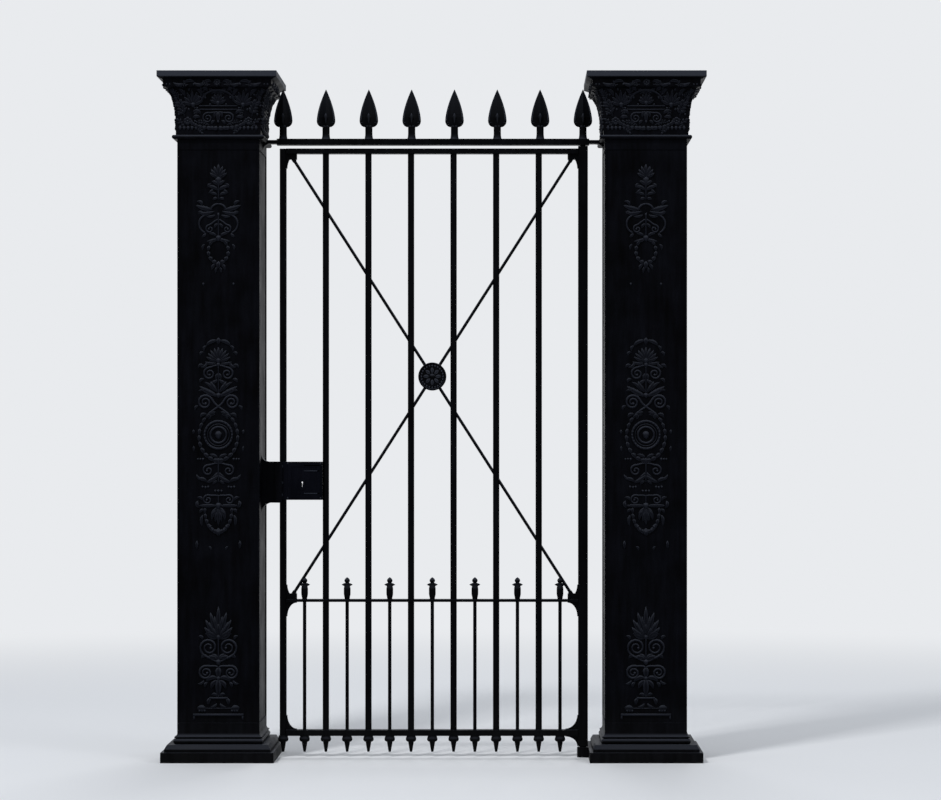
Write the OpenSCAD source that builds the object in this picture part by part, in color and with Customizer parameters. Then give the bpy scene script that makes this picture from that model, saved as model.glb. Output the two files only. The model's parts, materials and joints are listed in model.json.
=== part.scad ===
// Single-leaf iron gate hung between two cast box piers, under a fixed bar of spearheads.
// X runs along the gate, Y through it and Z up, in millimetres. The origin is the middle of
// the hinge pier's flat underside, and the latch pier stands on its -X side.

/* [Gateway] */
// Distance between the middles of the two piers
pier_spacing = 1925; // [1700:5:2300]
// Air between the hinge pier's plinth step and the heel stile
heel_play = 19; // [15:0.5:40]
// Air between the latch pier's plinth step and the latch stile
latch_play = 24; // [20:0.5:40]
// Air left round a turning piece
turn_play = 5; // [5:1:8]

/* [Piers] */
// Thickness of the piers' cast walls
casting_wall = 14; // [11:1:20]
// Thickness of the plinth's bed plate
bed_plate = 20; // [12:1:30]
// Height of the plinth's foot slab
foot_h = 46; // [42:1:56]
// Projection of the foot slab beyond the step on it
foot_out = 16; // [8:1:24]
// Height of the upright face of the plinth's step
step_h = 14; // [8:1:30]
// Projection of the step beyond the shaft
step_out = 53; // [44:1:70]
// Height of the weathered slope on the step
weather_h = 19; // [10:1:28]
// Depth of the weathered slope
weather_in = 11; // [6:1:20]
// Height of the roll on the plinth
roll_h = 24; // [18:1:30]
// Projection of the roll beyond the shaft
roll_out = 16; // [14:0.5:24]
// Height of the groove above the roll
quirk_h = 5; // [3:0.5:8]
// Projection of the core behind the groove beyond the shaft
quirk_out = 6; // [3:0.5:8]
// Height of the fillet above the groove
fillet_h = 4; // [3:0.5:8]
// Projection of the fillet beyond the shaft
fillet_out = 12; // [9:0.5:20]
// Height of the cove between fillet and shaft
cove_h = 16; // [10:1:24]
// Width of the shaft
shaft_w = 370; // [320:2:420]
// Height of the shaft
shaft_h = 2673; // [2400:1:2950]
// Width of the border round each sunk panel
panel_border = 9; // [7:1:20]
// Depth of each sunk panel
panel_sunk = 4; // [2:0.5:7]
// Plain height above and below each sunk panel
panel_margin = 46; // [40:1:70]
// Height of the necking's bead
bead_h = 19; // [16:1:24]
// Projection of the bead beyond the shaft
bead_out = 22; // [16:0.5:28]
// Height of the necking above its bead
neck_h = 18; // [12:1:30]
// Projection of the necking and the bell's foot beyond the shaft
neck_out = 6; // [4:0.5:12]
// Height of the bell
bell_h = 194; // [160:1:220]
// Plain height at the foot of the bell
bell_foot = 56; // [30:1:80]
// Projection of the bell's top beyond its foot
bell_out = 49; // [36:1:60]
// Height of the cap's upright face
fascia_h = 32; // [24:1:44]
// Projection of the cap's upright face beyond the bell's top
fascia_out = 3; // [1:0.5:5]
// Height of the slope under the cap's slab
cap_slope_h = 11; // [6:1:16]
// Height of the cap's slab
slab_h = 26; // [20:1:36]
// Projection of the slab beyond the upright face
slab_out = 25; // [14:1:34]

/* [Relief] */
// Rise of the cast ornament above the sunk panels
relief_h = 4; // [2:0.5:6]
// Width of the ornament's stalks
stalk_w = 8; // [6:0.5:12]
// Width of the rings and volutes
ring_w = 9; // [7:0.5:12]
// Height of the roundel's middle above the shaft's foot
roundel_z = 1342; // [1290:1:1400]
// Radius of the roundel's outer ring
roundel_r = 61; // [54:1:68]
// Radius of the roundel's inner ring
roundel_inner_r = 36; // [30:1:42]
// Half the width of the wreath of husks round the roundel
oval_r = 87; // [80:1:96]
// Half the width of the wreath that hangs from the ribbon
wreath_r = 45; // [40:1:52]
// Radius of the large volutes
volute_r = 30; // [26:1:34]
// Radius of the small volutes
small_volute_r = 21; // [17:1:24]
// Radius of the open scrolls that reach round the small volutes
scroll_r = 39; // [34:1:44]
// Height of the foot's palmette
palmette_h = 140; // [120:1:155]
// Width of the large leaves
frond_w = 20; // [16:1:24]
// Width of the small leaves
leaflet_w = 14; // [11:1:18]
// Length of a husk
husk_h = 28; // [22:1:32]
// Half the width of the pedestal's ledge
ledge_half = 112; // [100:1:126]
// Air between the ornament and the keep's seat
seat_play = 2; // [1:0.5:4]

/* [Lintel] */
// Drop of the bar's underside below the shaft's top
lintel_drop = 7.5; // [0:0.5:12]
// Thickness of the bar
lintel_t = 28; // [22:1:34]
// Depth of the bar, front to back
lintel_d = 45; // [42:1:60]
// Length of full-thickness bar beyond each end spear's axis
lintel_overrun = 28; // [24:1:34]
// Thickness of the tangs that run into the piers
tang_t = 16; // [12:1:18]
// Radius of the sweep above a tang where it meets its pier
tang_top_sweep = 17; // [10:1:20]
// Radius of the sweep below a tang where it meets its pier
tang_low_sweep = 36; // [20:1:42]

/* [Spearheads] */
// Radius of a spear's stem
stem_r = 16.5; // [13:0.5:18]
// Height of the stem between bar and head
stem_h = 54.5; // [44:0.5:70]
// Radius of the stem's swept foot
stem_foot_r = 22; // [18:0.5:22]
// Height of the stem's swept foot
stem_foot_h = 28; // [16:1:36]
// Height of the head's rounded shoulder
shoulder_h = 29; // [24:1:40]
// Height of the head's blade above its widest place
blade_h = 143; // [110:1:170]
// Half the head's greatest width
blade_r = 42.5; // [34:0.5:48]
// Half the head's greatest thickness
blade_t = 18.5; // [16:0.5:22]

/* [Leaf] */
// Number of bays between the two stiles
bays = 7; // [5:1:8]
// Width of the square heel stile
heel_w = 44; // [38:1:48]
// Width of the square latch stile
stile_w = 30; // [26:1:34]
// Cut on the corners of both stiles
stile_chamfer = 4; // [2:0.5:6]
// Air between the top rail and the lintel
head_gap = 16.5; // [12:0.5:30]
// Thickness of the top rail
top_rail_t = 23; // [18:1:30]
// Thickness of the middle rail
mid_rail_t = 12; // [10:1:18]
// Height of the middle rail's underside
mid_rail_z = 709; // [600:1:900]
// Thickness of the bottom rail
low_rail_t = 27; // [22:1:32]
// Depth of the rails, front to back
rail_d = 45; // [40:1:46]
// Radius of a main bar
bar_r = 14.5; // [12:0.5:16]
// Radius of a dog bar
dog_r = 8; // [6:0.5:10]
// Air round a bar in its punched hole
hole_play = 0.3; // [0.2:0.1:0.5]

/* [Spikes and finials] */
// Height of the spikes' tips above the ground
tip_z = 24; // [18:1:36]
// Length of a spike below its collar
spike_h = 46; // [40:1:56]
// Radius of a spike's root
spike_r = 13; // [10:0.5:15]
// Radius of a spike's blunt tip
spike_tip_r = 5.5; // [3:0.5:7]
// Greatest radius of the collar under the bottom rail
collar_r = 24; // [21:0.5:26]
// Radius of the collar where it meets the rail
collar_top_r = 20.5; // [18:0.5:22]
// Height of the collar
collar_h = 28; // [20:1:34]
// Height of a finial
finial_h = 100; // [84:1:112]
// Radius of the finial's foot
finial_foot_r = 11.5; // [9.5:0.5:14]
// Radius of the finial's swollen stem
finial_r = 15.5; // [13:0.5:18]
// Radius of the neck that carries the arms and the leaf
finial_neck_r = 12; // [10:0.5:14]
// Half the width across the finial's arms
arm_reach = 25; // [20:1:29]
// Radius of the arms at their root
arm_r = 9; // [6:0.5:11]
// Radius of the finial's leaf
leaf_r = 12.5; // [11:0.5:14]
// Depth of the groove between a finial's neck and its leaf
finial_dip = 4; // [2:0.5:6]

/* [Brace] */
// Radius of the diagonal rods
rod_r = 7; // [6:0.5:9]
// Distance from a stile at which a rod's axis would meet the rail
rod_aim = 16; // [8:1:24]
// Thickness of the corner plates
plate_t = 14; // [12:1:20]
// Reach of the plates along the rails
plate_w = 48; // [40:1:56]
// Reach of the plates along the stiles
plate_h = 66; // [52:1:76]
// Reach along the bottom rail of the plates beside the heel
heel_plate_w = 58; // [46:1:60]
// Depth of the block in each plate that a rod runs into
lug_h = 26; // [20:1:34]
// Width of the lug that takes a rod's end
lug_w = 18; // [16:1:22]
// Length of the lug from its rail, along the rod
lug_run = 42; // [36:1:54]
// Thickness of a plate's blunt tips
plate_tip = 4; // [3:0.5:6]

/* [Centre boss] */
// Radius of the boss
boss_r = 64; // [56:1:72]
// Width of the boss's rim
rim_w = 8; // [6:0.5:12]
// Rise of the boss's rim above the web
rim_h = 5; // [3:0.5:8]
// Cut on the edges of the rim
rim_cut = 2; // [1:0.5:2.5]
// Thickness of the boss's web
web_t = 20; // [18:1:24]
// Radius of the raised disc
disc_r = 43; // [34:1:46]
// Rise of the raised disc above the web
disc_h = 4; // [2:0.5:6]
// Radius of the knob in the middle
knob_r = 14; // [10:0.5:16]
// Rise of the knob above the raised disc
knob_h = 8; // [6:0.5:10]
// Depth of the sockets that hold the rods
rod_socket = 26; // [18:1:32]

/* [Pivots] */
// Radius of the heel stile's foot pin
foot_pin_r = 15; // [12:0.5:16]
// Radius of the heel stile's head pin
head_pin_r = 12; // [9:0.5:13]
// Play round both pins
pin_play = 0.05; // [0.02:0.01:0.1]
// Air beyond the end of each pin
pin_end_play = 0.5; // [0.3:0.1:1]
// Radius of the foot socket's round end
socket_r = 27; // [24:1:32]
// Thickness of the foot socket's floor
socket_floor = 12; // [8:1:14]
// Metal left above the head pin in the lintel
head_cover = 8; // [6:1:12]

/* [Lock and keep] */
// Height of the lock's middle
lock_z = 1261.5; // [1100:0.5:1500]
// Height of the lock case
lock_h = 174; // [140:1:200]
// Depth of the lock case
lock_d = 46; // [42:1:54]
// Thickness of the case's walls
lock_wall = 6; // [4:0.5:8]
// Thickness of the cover plate
cover_t = 4; // [3:0.5:6]
// Width of the cover's raised border
border_w = 14; // [8:1:20]
// Rise of the border and of the escutcheon above the cover
border_t = 3; // [2:0.5:4]
// Distance from the cover's edges to its border
border_inset = 9; // [4:1:16]
// Radius of the escutcheon's ends
escutcheon_r = 15; // [12:0.5:20]
// Distance between the centres of the escutcheon's ends
escutcheon_h = 24; // [16:1:30]
// Radius of the keyhole's round top
keyhole_r = 5; // [4:0.5:6]
// Width of the keyhole's slot
keyhole_w = 5; // [3:0.5:6]
// Length of the keyhole's slot
keyhole_h = 20; // [14:1:22]
// Shift of the keyhole from the cover's middle towards the latch stile
key_shift = 10; // [0:1:20]
// Drop of the keyhole's round top below the lock's middle
key_drop = 8; // [0:1:20]
// Air between keep and latch stile
keep_gap = 6; // [5:1:7]
// Height of the keep beside the lock
keep_h = 187; // [176:1:210]
// Drop of the keep's middle below the lock's
keep_drop = 6; // [0:1:8]
// Radius of the sweep above the keep
keep_top_sweep = 32; // [24:1:44]
// Radius of the sweep below the keep
keep_low_sweep = 46; // [30:1:52]
// Thickness of the lip in front of the lock
lip_t = 12; // [8:1:16]
// Lap of the lip over the latch stile
lip_lap = 12; // [8:1:16]

/* [Hidden] */
$fn = 48;

iron = [0.10, 0.11, 0.13];
iron_worn = [0.14, 0.15, 0.17];

// How far a cut runs past the face that it opens
past = 1;
// How far one solid of a piece runs into the next
lap = 1;

// Heights up the piers
base_z = foot_h + step_h + weather_h;
shaft_z = base_z + roll_h + quirk_h + fillet_h + cove_h;
neck_z = shaft_z + shaft_h;
bell_z = neck_z + bead_h + neck_h;
cap_z = bell_z + bell_h;

// Widths of the piers' pieces
core_w = shaft_w - 2 * casting_wall;
step_w = shaft_w + 2 * step_out;
foot_w = step_w + 2 * foot_out;
neck_w = shaft_w + 2 * neck_out;
bell_w = neck_w + 2 * bell_out;
fascia_w = bell_w + 2 * fascia_out;
slab_w = fascia_w + 2 * slab_out;
panel_floor = shaft_w / 2 - panel_sunk;

// The two upright axes and what lies between them, with the bays' clear widths all equal
heel_x = -(step_w / 2 + heel_play + heel_w / 2);
latch_x = -pier_spacing + step_w / 2 + latch_play + stile_w / 2;
panel_left = latch_x + stile_w / 2;
panel_right = heel_x - heel_w / 2;
bay_w = (panel_right - panel_left - 2 * (bays - 1) * bar_r) / bays;
function bar_x(i) = panel_left + i * (bay_w + 2 * bar_r) - bar_r;
function dog_x(i) = panel_left + (i + 0.5) * bay_w + 2 * i * bar_r;
function spear_x(i) = latch_x + i * (heel_x - latch_x) / bays;

// Heights up the leaf
low_rail_z = tip_z + spike_h + collar_h;
low_rail_top = low_rail_z + low_rail_t;
mid_rail_top = mid_rail_z + mid_rail_t;
lintel_z = neck_z - lintel_drop;
lintel_top = lintel_z + lintel_t;
top_rail_top = lintel_z - head_gap;
top_rail_z = top_rail_top - top_rail_t;
heel_foot_z = foot_h + turn_play;
heel_head_z = lintel_z - turn_play;

// The braced panel, and the rods that run from the boss towards its corners
boss_x = (panel_left + panel_right) / 2;
boss_z = (mid_rail_top + top_rail_z) / 2;
brace_w = (panel_right - panel_left) / 2 - rod_aim;
brace_h = (top_rail_z - mid_rail_top) / 2;
brace_run = norm([brace_w, brace_h]);
rod_start = boss_r - rod_socket;

// The lock and the keep
lock_left = latch_x - stile_w / 2;
lock_right = bar_x(1) - bar_r - hole_play;
lock_low = lock_z - lock_h / 2;
keep_root = -pier_spacing + panel_floor;
keep_end = lock_left - keep_gap;
keep_low = lock_z - keep_drop - keep_h / 2;
lip_y = lock_d / 2 + cover_t + turn_play;
cover_y = -lock_d / 2 - cover_t;
key_x = (panel_left + lock_right) / 2 - key_shift;
key_z = lock_z - key_drop;

// A solid with the same outline on all four sides, from its outline seen from the front
module four_sided() {
    span = slab_w * 2;
    intersection() {
        rotate([90, 0, 0]) linear_extrude(span, center = true) children();
        rotate([90, 0, 90]) linear_extrude(span, center = true) children();
    }
}

module block(w, h) {
    translate([-w / 2, -w / 2, 0]) cube([w, w, h]);
}

// Half of an outline, given as [half width, height] going up, with its mirror image
function both_sides(half) = concat(half, [for (i = [len(half) - 1:-1:0]) [-half[i][0], half[i][1]]]);

// A foot slab with a weathered step on it, hollow between its bed plate and its top
module plinth() {
    top = foot_h + step_h + weather_h;
    color(iron) difference() {
        four_sided() polygon(both_sides([
            [foot_w / 2, 0],
            [foot_w / 2, foot_h],
            [step_w / 2, foot_h],
            [step_w / 2, foot_h + step_h],
            [step_w / 2 - weather_in, top]
        ]));
        translate([0, 0, bed_plate])
            block(step_w - 2 * casting_wall - 2 * weather_in, top - casting_wall - bed_plate);
        translate([0, 0, bed_plate]) block(core_w, top);
    }
}

// A roll, a groove, and a fillet that a cove joins to the shaft
module base_moulding() {
    steps = 8;
    fillet_z = roll_h + quirk_h;
    cove_z = fillet_z + fillet_h;
    roll_half = shaft_w / 2 + roll_out - roll_h / 2;
    color(iron) difference() {
        four_sided() {
            for (side = [-1, 1])
                translate([side * roll_half, roll_h / 2]) circle(roll_h / 2);
            translate([-roll_half, 0]) square([2 * roll_half, roll_h]);
            translate([-shaft_w / 2 - quirk_out, 0]) square([shaft_w + 2 * quirk_out, cove_z]);
            polygon(both_sides(concat(
                [[shaft_w / 2 + fillet_out, fillet_z]],
                [for (i = [0:steps]) [
                    shaft_w / 2 + fillet_out * (1 - sin(90 * i / steps)),
                    cove_z + cove_h * (1 - cos(90 * i / steps))
                ]]
            )));
        }
        translate([0, 0, -past]) block(core_w, cove_z + cove_h + 2 * past);
    }
}

// A hollow shaft with a sunk panel and its relief on each side. The relief leaves room for the keep
// on the +X side where there is one.
module shaft(has_keep) {
    panel_w = shaft_w - 2 * panel_border;
    panel_h = shaft_h - 2 * panel_margin;
    color(iron) {
        difference() {
            block(shaft_w, shaft_h);
            translate([0, 0, -past]) block(core_w, shaft_h + 2 * past);
            for (side = [0:90:270])
                rotate(side) translate([-panel_w / 2, -shaft_w / 2 - past, panel_margin])
                    cube([panel_w, panel_sunk + past, panel_h]);
        }
        for (side = [0:90:270])
            rotate(side) translate([0, lap - panel_floor, 0]) rotate([90, 0, 0]) linear_extrude(relief_h + lap)
                difference() {
                    face_relief();
                    if (has_keep && side == 90) keep_seat();
                }
    }
}

// The relief of one face, seen from in front, with the shaft's foot at 0
module face_relief() {
    translate([0, panel_margin]) foot_motif();
    translate([0, roundel_z]) roundel_motif();
    translate([0, shaft_h - panel_margin]) head_motif();
}

// The part of a face that the keep covers
module keep_seat() {
    low = keep_low - shaft_z - keep_low_sweep - seat_play;
    high = keep_low - shaft_z + keep_h + keep_top_sweep + seat_play;
    translate([-lip_y - seat_play, low]) square([2 * (lip_y + seat_play), high - low]);
}

module mirrored() {
    children();
    mirror([1, 0]) children();
}

// A pointed leaf between two equal arcs, from a root at some angle
module frond(root, angle, length, width) {
    radius = (length * length + width * width) / (4 * width);
    translate(root) rotate(angle) intersection() {
        translate([length / 2, radius - width / 2]) circle(radius);
        translate([length / 2, width / 2 - radius]) circle(radius);
    }
}

// Leaves from a round heart, spread evenly to both sides of a direction, the outer ones shorter
module palmette(root, angle, spread, count, length, width, fall) {
    translate(root) circle(width / 2);
    for (i = [0:count - 1])
        let (share = 2 * i / (count - 1) - 1)
            frond(root, angle + spread * share, length * (1 - fall * abs(share)), width);
}

// Pointed husks down an oval of half widths a and b, from one angle to a lower one, the last ones widest
module husks(centre, a, b, count, length, from, to) {
    for (i = [0:count - 1])
        let (t = from + (to - from) * (i + 0.5) / count, way = atan2(-b * cos(t), a * sin(t)))
            frond(
                centre + [a * cos(t), b * sin(t)] - length / 2 * [cos(way), sin(way)],
                way, length, leaflet_w * (0.6 + 0.4 * (i + 1) / count)
            );
}

module ring(centre, radius, width) {
    translate(centre) difference() {
        circle(radius + width / 2);
        circle(radius - width / 2);
    }
}

// A ring with a round eye in it, for a scroll
module volute(centre, radius) {
    ring(centre, radius, ring_w);
    translate(centre) circle(0.25 * radius);
}

// A ring with its inner side open between two right-angled cuts, for the stem of a scroll
module scroll(centre, radius) {
    difference() {
        ring(centre, radius, ring_w);
        translate(centre) rotate(135) square(radius + ring_w);
    }
}

module stalk(from, to) {
    translate([-stalk_w / 2, from]) square([stalk_w, to - from]);
}

// A roundel in a wreath of husks, with scrolls and a shell above it and a pendant below, round its middle
module roundel_motif() {
    oval_h = oval_r + 22;
    volute_z = oval_h + 42;
    wing_z = volute_z + 24;
    high_z = volute_z + 125;
    shell_z = high_z + 60;
    low_z = -oval_h - 50;
    pendant_z = low_z - 160;
    ring([0, 0], roundel_r, ring_w);
    ring([0, 0], roundel_inner_r, ring_w);
    circle(0.42 * roundel_inner_r);
    mirrored() {
        husks([0, 0], oval_r, oval_h, 9, husk_h, 90, -90);
        volute([volute_r + 26, volute_z], volute_r);
        frond([0, wing_z], 28, 96, frond_w);
        frond([0, wing_z + 16], 56, 62, leaflet_w);
        volute([small_volute_r + 20, high_z], small_volute_r + 6);
        frond([0, shell_z + 92], -26, 62, leaflet_w);
        volute([small_volute_r + 24, low_z], small_volute_r);
        frond([0, low_z - 16], -32, 68, leaflet_w);
        volute([small_volute_r + 27, pendant_z + 27], small_volute_r);
        frond([0, pendant_z], 0, 94, leaflet_w);
        husks([0, pendant_z - 26], 58, 92, 4, husk_h, 0, -90);
    }
    stalk(volute_z - 26, shell_z);
    palmette([0, shell_z], 90, 72, 9, 64, leaflet_w, 0.1);
    frond([0, shell_z + 76], 90, 34, leaflet_w);
    stalk(pendant_z, -oval_h);
    palmette([0, pendant_z], -90, 26, 3, 84, leaflet_w, 0.2);
    frond([0, pendant_z - 100], -90, 36, frond_w);
}

// A palmette on two pairs of scrolls over a pedestal, upwards from the foot of the sunk panel
module foot_motif() {
    ledge_z = 32;
    paw_z = 63;
    foot_z = 110;
    calyx_z = 196;
    volute_z = 225;
    spring_z = 280;
    scroll_z = 340;
    fan_z = 382;
    translate([-ledge_half, ledge_z]) square([2 * ledge_half, ring_w]);
    translate([-scroll_r, foot_z - stalk_w / 2]) square([2 * scroll_r, stalk_w]);
    stalk(foot_z, fan_z);
    frond([0, calyx_z], -90, 78, frond_w + leaflet_w / 2);
    mirrored() {
        frond([54, paw_z], 6, 42, frond_w);
        frond([scroll_r - stalk_w / 2, foot_z], -70, 34, leaflet_w);
        frond([0, calyx_z], -18, 60, leaflet_w);
        frond([0, calyx_z - 4], -50, 52, leaflet_w);
        volute([volute_r + 27, volute_z], volute_r);
        frond([0, spring_z], 10, 52, leaflet_w);
        frond([0, spring_z], 40, 44, leaflet_w);
        scroll([scroll_r + stalk_w / 2, scroll_z], scroll_r);
        volute([scroll_r, scroll_z + 8], 0.85 * small_volute_r);
    }
    palmette([0, fan_z], 90, 70, 9, palmette_h, frond_w, 0.64);
}

// A small palmette, a winged ribbon and scrolls with a hanging wreath, downwards from the head of the sunk panel
module head_motif() {
    crown_z = -124;
    wing_z = -264;
    scroll_z = -332;
    knot_z = -399;
    wreath_h = wreath_r + 9;
    wreath_z = knot_z - wreath_h - 4;
    palmette([0, crown_z], 90, 62, 7, 56, leaflet_w, 0.3);
    translate([0, crown_z - leaflet_w]) circle(leaflet_w);
    stalk(knot_z, crown_z);
    translate([0, knot_z]) circle(0.8 * leaflet_w);
    mirrored() {
        frond([0, crown_z - 62], 22, 50, leaflet_w);
        frond([0, crown_z - 40], 38, 34, leaflet_w);
        frond([0, wing_z], 14, 94, frond_w);
        frond([0, wing_z - 6], -10, 66, leaflet_w);
        scroll([scroll_r + stalk_w / 2, scroll_z], scroll_r);
        volute([scroll_r, scroll_z - 28], 0.7 * small_volute_r);
        frond([0, knot_z], -14, 52, leaflet_w);
        husks([0, wreath_z], wreath_r, wreath_h, 6, 0.8 * husk_h, 80, -80);
    }
    frond([0, wreath_z - wreath_h + leaflet_w / 2], -90, husk_h, leaflet_w);
}

// The bead is cut back to the neck where the lintel's end meets it, on the side given
module necking(side) {
    bead_r = bead_h / 2;
    bead_half = shaft_w / 2 + bead_out - bead_r;
    color(iron) difference() {
        four_sided() {
            translate([-neck_w / 2, 0]) square([neck_w, bead_h + neck_h]);
            translate([-bead_half, 0]) square([2 * bead_half, bead_h]);
            for (end = [-1, 1])
                translate([end * bead_half, bead_r]) circle(bead_r);
        }
        translate([0, 0, -past]) block(core_w, bead_h + neck_h + 2 * past);
        translate([side * (neck_w / 2 + bead_out) - bead_out, -lintel_d / 2, -past])
            cube([2 * bead_out, lintel_d, bead_h + past]);
    }
}

// Half the bell's outline from foot to top, an upright stretch and then a hollow quarter oval
function bell_curve(inset) = let (steps = 12, sweep_h = bell_h - bell_foot) [
    for (i = [0:steps]) let (
        out = [bell_out * sin(90 * i / steps), sweep_h * cos(90 * i / steps)],
        inward = inset / norm(out)
    ) [
        bell_w / 2 - bell_out * cos(90 * i / steps) - out[1] * inward,
        bell_foot + sweep_h * sin(90 * i / steps) + out[0] * inward
    ]
];

module bell() {
    core = [[core_w / 2, -past], [core_w / 2, bell_foot]];
    color(iron) difference() {
        four_sided() polygon(both_sides(concat([[neck_w / 2, 0]], bell_curve(0))));
        four_sided() polygon(both_sides(concat(core, bell_curve(casting_wall))));
    }
}

module cap() {
    cap_h = fascia_h + cap_slope_h + slab_h;
    color(iron) difference() {
        four_sided() polygon(both_sides([
            [fascia_w / 2, 0],
            [fascia_w / 2, fascia_h],
            [slab_w / 2, fascia_h + cap_slope_h],
            [slab_w / 2, cap_h]
        ]));
        translate([0, 0, -past]) block(fascia_w - 2 * casting_wall, cap_h - casting_wall + past);
    }
}

// A corner at 0 between +x and +y, cut back to a hollow quarter circle, and a lap into what carries it below
module sweep(radius) {
    difference() {
        translate([0, -lap]) square([radius, radius + lap]);
        translate([radius, radius]) circle(radius);
    }
}

// One swept end of the lintel, from the end of the bar at x = 0 to the pier at x = length
module tang_end(length) {
    translate([-lap, -tang_t / 2]) square([length + lap, tang_t]);
    translate([length, tang_t / 2]) mirror([1, 0]) sweep(tang_top_sweep);
    translate([length, -tang_t / 2]) rotate(180) sweep(tang_low_sweep);
}

module lintel() {
    left = latch_x - lintel_overrun;
    right = heel_x + lintel_overrun;
    tang_z = lintel_z + lintel_t / 2;
    color(iron) difference() {
        union() {
            translate([left, -lintel_d / 2, lintel_z]) cube([right - left, lintel_d, lintel_t]);
            translate([right, 0, tang_z]) rotate([90, 0, 0])
                linear_extrude(lintel_d, center = true) tang_end(-shaft_w / 2 - right);
            translate([left, 0, tang_z]) mirror([1, 0, 0]) rotate([90, 0, 0])
                linear_extrude(lintel_d, center = true) tang_end(left + pier_spacing - shaft_w / 2);
        }
        on_hinge_pier(neck_z) block(neck_w, bead_h + neck_h + bell_foot);
        on_latch_pier(neck_z) block(neck_w, bead_h + neck_h + bell_foot);
        translate([heel_x, 0, lintel_z - past])
            cylinder(r = head_pin_r + pin_play, h = lintel_t - head_cover + past);
    }
}

// A solid through a stack of rings, each with the same number of points
module loft(rings) {
    n = len(rings[0]);
    last = (len(rings) - 1) * n;
    polyhedron(
        points = [for (ring = rings) for (p = ring) p],
        faces = concat(
            [[for (i = [0:n - 1]) i]],
            [for (k = [0:len(rings) - 2]) for (i = [0:n - 1])
                [(k + 1) * n + i, (k + 1) * n + (i + 1) % n, k * n + (i + 1) % n]],
            [for (k = [0:len(rings) - 2]) for (i = [0:n - 1])
                [(k + 1) * n + i, k * n + (i + 1) % n, k * n + i]],
            [[for (i = [n - 1:-1:0]) last + i]]
        )
    );
}

// A hollow-ground diamond, w and t being half its width and half its thickness
function blade_ring(w, t, z) = [
    for (p = [[1, 0], [0.42, 0.46], [0, 1], [-0.42, 0.46], [-1, 0], [-0.42, -0.46], [0, -1], [0.42, -0.46]])
        [p[0] * w, p[1] * t, z]
];

module spear() {
    shoulder_steps = 5;
    blade_steps = 9;
    foot_steps = 8;
    shoulder = [for (i = [0:shoulder_steps]) sin(90 * i / shoulder_steps)];
    blade = [for (i = [1:blade_steps]) i / blade_steps];
    rotate_extrude() polygon(concat(
        [[0, 0]],
        [for (i = [0:foot_steps]) [
            stem_foot_r - (stem_foot_r - stem_r) * sin(90 * i / foot_steps),
            stem_foot_h * (1 - cos(90 * i / foot_steps))
        ]],
        [[stem_r, stem_h + 2 * lap], [stem_r / 2, stem_h + shoulder_h], [0, stem_h + shoulder_h]]
    ));
    translate([0, 0, stem_h]) loft(concat(
        [for (s = shoulder) blade_ring(
            stem_r + (blade_r - stem_r) * s,
            stem_r + (blade_t - stem_r) * s,
            shoulder_h * (1 - sqrt(1 - s * s))
        )],
        [for (u = blade) let (taper = 1 - 0.98 * pow(u, 1.6))
            blade_ring(blade_r * taper, blade_t * taper, shoulder_h + blade_h * u)]
    ));
}

module spearheads() {
    color(iron) for (i = [0:bays])
        translate([spear_x(i), 0, lintel_top]) spear();
}

// A bracket on the latch pier that the lock shoots into, with a lip that stops the leaf
module keep() {
    color(iron) {
        translate([keep_root, 0, keep_low]) rotate([90, 0, 0]) linear_extrude(2 * lip_y, center = true) {
            square([keep_end - keep_root, keep_h]);
            translate([0, keep_h]) sweep(keep_top_sweep);
            mirror([0, 1]) sweep(keep_low_sweep);
        }
        translate([keep_end, 0, keep_low]) linear_extrude(keep_h) {
            translate([-lip_t, -lip_y - lip_t]) square([lip_t, lip_t + lip_y]);
            translate([-lip_t, -lip_y - lip_t]) square([lip_t + keep_gap + lip_lap, lip_t]);
        }
    }
}

// A block against the plinth's foot slab, round at its free end, with the heel stile's blind socket
module foot_socket() {
    color(iron) difference() {
        union() {
            translate([heel_x, 0, 0]) cylinder(r = socket_r, h = foot_h);
            translate([heel_x, -socket_r, 0]) cube([-foot_w / 2 - heel_x, 2 * socket_r, foot_h]);
        }
        on_hinge_pier(-past) block(foot_w, foot_h + 2 * past);
        translate([heel_x, 0, socket_floor]) cylinder(r = foot_pin_r + pin_play, h = foot_h);
    }
}

module stile_bar(w, h) {
    half = w / 2;
    inner = half - stile_chamfer;
    linear_extrude(h) polygon([
        [half, -inner], [half, inner], [inner, half], [-inner, half],
        [-half, inner], [-half, -inner], [-inner, -half], [inner, -half]
    ]);
}

module heel_stile() {
    color(iron) translate([heel_x, 0, 0]) {
        translate([0, 0, heel_foot_z]) stile_bar(heel_w, heel_head_z - heel_foot_z);
        translate([0, 0, socket_floor + pin_end_play])
            cylinder(r = foot_pin_r, h = heel_foot_z - socket_floor - pin_end_play + lap);
        translate([0, 0, heel_head_z - lap])
            cylinder(r = head_pin_r, h = turn_play + lintel_t - head_cover - pin_end_play + lap);
    }
}

// A collar with a round belly and the blunt spike below it, with the collar's top at z = 0
module spike() {
    steps = 6;
    belly_z = -0.6 * collar_h;
    rotate_extrude() polygon(concat(
        [[0, 0]],
        eased(collar_top_r, collar_r, 0, belly_z, steps),
        [for (i = [1:steps]) [
            spike_r + (collar_r - spike_r) * cos(90 * i / steps),
            belly_z - (collar_h + belly_z) * sin(90 * i / steps)
        ]],
        [[spike_tip_r, -collar_h - spike_h], [0, -collar_h - spike_h]]
    ));
}

module latch_stile() {
    color(iron) translate([latch_x, 0, low_rail_z]) {
        stile_bar(stile_w, top_rail_top - low_rail_z);
        spike();
    }
}

module rail(z, thickness) {
    translate([panel_left, -rail_d / 2, z]) cube([panel_right - panel_left, rail_d, thickness]);
}

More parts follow.
